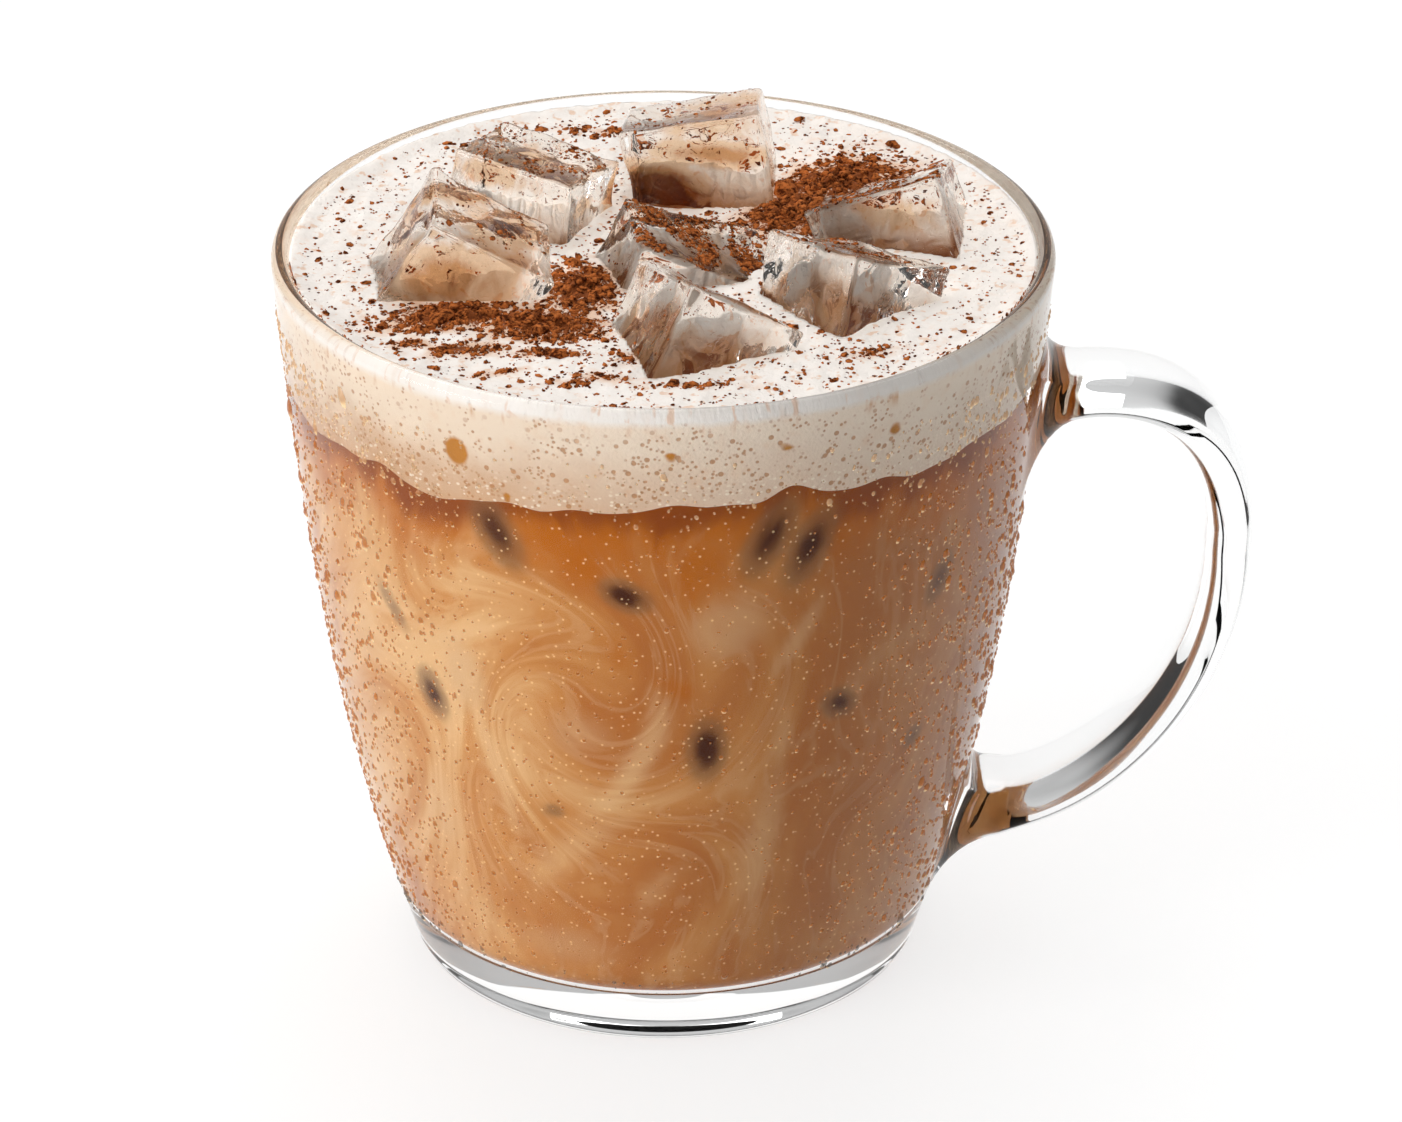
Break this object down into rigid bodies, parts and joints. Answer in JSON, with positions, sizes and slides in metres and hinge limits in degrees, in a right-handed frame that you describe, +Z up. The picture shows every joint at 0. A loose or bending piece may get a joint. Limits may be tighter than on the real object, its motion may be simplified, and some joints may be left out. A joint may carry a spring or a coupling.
{
  "type": "iced cappuccino",
  "caption": "Iced cappuccino in a clear glass mug with a loop handle: swirled coffee, a thick cap of milk foam dusted with cocoa, and ice cubes standing in the foam.",
  "frame": {"origin": "centre of the mug's flat underside, on the mug's axis", "axes": "+Z up along the mug's axis, +X towards the handle, -Y towards the side the drink is seen from"},
  "size_m": [0.1264, 0.0998, 0.1108],
  "materials": {
    "mug_glass": "clear colourless glass, polished, with cold condensation droplets on its sides",
    "coffee": "milky iced coffee with paler and darker swirls",
    "milk_foam": "fine-bubbled white milk foam dusted with brown cocoa",
    "ice": "clear wet ice with softly wavy faces"
  },
  "bodies": {
    "root": {"mug": "mug_glass", "coffee": "coffee", "milk_foam": "milk_foam", "ice_left": "ice", "ice_back_left": "ice", "ice_back": "ice", "ice_centre": "ice", "ice_front": "ice", "ice_right": "ice", "ice_far_right": "ice"}
  },
  "joints": []
}
